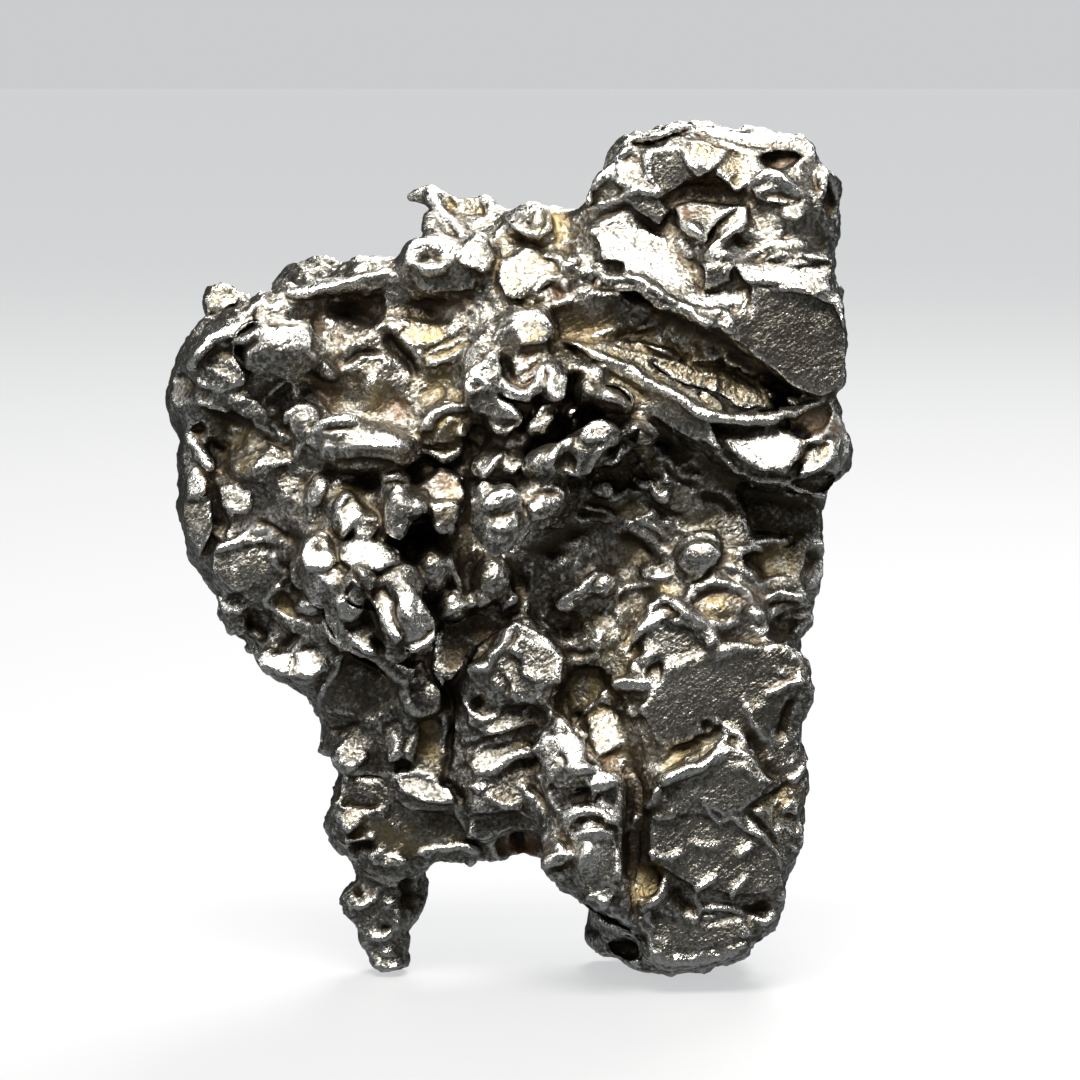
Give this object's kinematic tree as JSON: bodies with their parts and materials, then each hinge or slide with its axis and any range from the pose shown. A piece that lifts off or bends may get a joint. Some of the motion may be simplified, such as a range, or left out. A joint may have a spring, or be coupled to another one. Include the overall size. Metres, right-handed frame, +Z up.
{
  "type": "iron meteorite",
  "caption": "Iron meteorite standing upright on two feet, with a square crown, a slanting ledge, prongs and pits on its show face.",
  "frame": {"origin": "on the ground, at the middle of the bounding box's bottom", "axes": "+X to the right of the show face, +Y behind it, +Z up; the show face looks along -Y"},
  "size_m": [0.0342, 0.0194, 0.0427],
  "materials": {
    "iron": "bare nickel iron: bright worn ridges, dull grey faces, brown in the hollows"
  },
  "bodies": {
    "root": {"iron_meteorite": "iron"}
  },
  "joints": []
}
